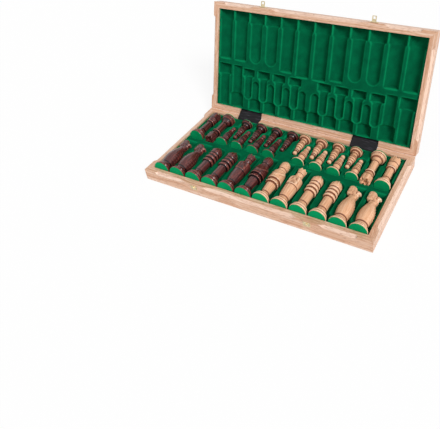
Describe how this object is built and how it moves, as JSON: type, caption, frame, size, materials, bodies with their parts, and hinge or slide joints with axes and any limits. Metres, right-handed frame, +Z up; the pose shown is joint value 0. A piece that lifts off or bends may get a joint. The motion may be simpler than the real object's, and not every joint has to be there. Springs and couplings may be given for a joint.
{
  "type": "chess box with hinged lid",
  "caption": "Folding wooden chess box, open on strap hinges: fitted wells hold the men, brass clasps lock it, and its outer faces make the board.",
  "frame": {"origin": "middle of the lower half's underside, where the box rests", "axes": "+X along the hinge side, +Y from the clasps to the hinges, +Z up out of the lower half"},
  "size_m": [0.6, 0.4296, 0.3337],
  "materials": {
    "oak": "light oak, thin satin varnish",
    "light_veneer": "amber veneer, satin varnish",
    "dark_veneer": "dark brown stained veneer, satin varnish",
    "flock": "formed sheet with dark green flock",
    "strap": "black grained hinge leather",
    "brass": "pale polished brass",
    "dark_men": "reddish brown stain, gloss varnish",
    "light_men": "natural beech, gloss varnish, burnt rings",
    "felt": "green felt"
  },
  "bodies": {
    "tray": {"tray_front_rail": "oak", "tray_back_rail": "oak", "tray_left_rail": "oak", "tray_right_rail": "oak", "tray_board": "light_veneer", "tray_inlay": "dark_veneer", "tray_lining": "flock", "tray_strap_left": "strap", "tray_strap_right": "strap", "catch_left": "brass", "catch_right": "brass", "catch_nails": "brass", "men_felts": "felt", "dark_knight_1": "dark_men", "dark_knight_2": "dark_men", "dark_bishop_1": "dark_men", "dark_bishop_2": "dark_men", "dark_queen": "dark_men", "dark_king": "dark_men", "light_knight_1": "light_men", "light_knight_2": "light_men", "light_bishop_1": "light_men", "light_bishop_2": "light_men", "light_queen": "light_men", "light_king": "light_men", "dark_rook_1": "dark_men", "dark_rook_2": "dark_men", "light_rook_1": "light_men", "light_rook_2": "light_men", "dark_pawn_1": "dark_men", "dark_pawn_2": "dark_men", "dark_pawn_3": "dark_men", "dark_pawn_4": "dark_men", "dark_pawn_5": "dark_men", "dark_pawn_6": "dark_men", "dark_pawn_7": "dark_men", "dark_pawn_8": "dark_men", "light_pawn_1": "light_men", "light_pawn_2": "light_men", "light_pawn_3": "light_men", "light_pawn_4": "light_men", "light_pawn_5": "light_men", "light_pawn_6": "light_men", "light_pawn_7": "light_men", "light_pawn_8": "light_men"},
    "lid": {"lid_front_rail": "oak", "lid_back_rail": "oak", "lid_left_rail": "oak", "lid_right_rail": "oak", "lid_board": "light_veneer", "lid_inlay": "dark_veneer", "lid_lining": "flock", "lid_strap_left": "strap", "lid_strap_right": "strap", "hasp_left": "brass", "hasp_right": "brass", "hasp_nails": "brass", "hasp_pins": "brass"},
    "clasp_tongue_left": {"tongue_left": "brass"},
    "clasp_tongue_right": {"tongue_right": "brass"}
  },
  "joints": [
    {"name": "lid_hinge", "type": "hinge", "parent": "tray", "child": "lid", "pos_m": [0, 0.15015, 0.03365], "axis": [-1, 0, 0], "range_deg": [-108.4, 71.6]},
    {"name": "tongue_left_hinge", "type": "hinge", "parent": "lid", "child": "clasp_tongue_left", "pos_m": [-0.15, 0.24734, 0.31933], "axis": [-1, 0, 0], "range_deg": [-90, 80]},
    {"name": "tongue_right_hinge", "type": "hinge", "parent": "lid", "child": "clasp_tongue_right", "pos_m": [0.15, 0.24734, 0.31933], "axis": [-1, 0, 0], "range_deg": [-90, 80]}
  ]
}
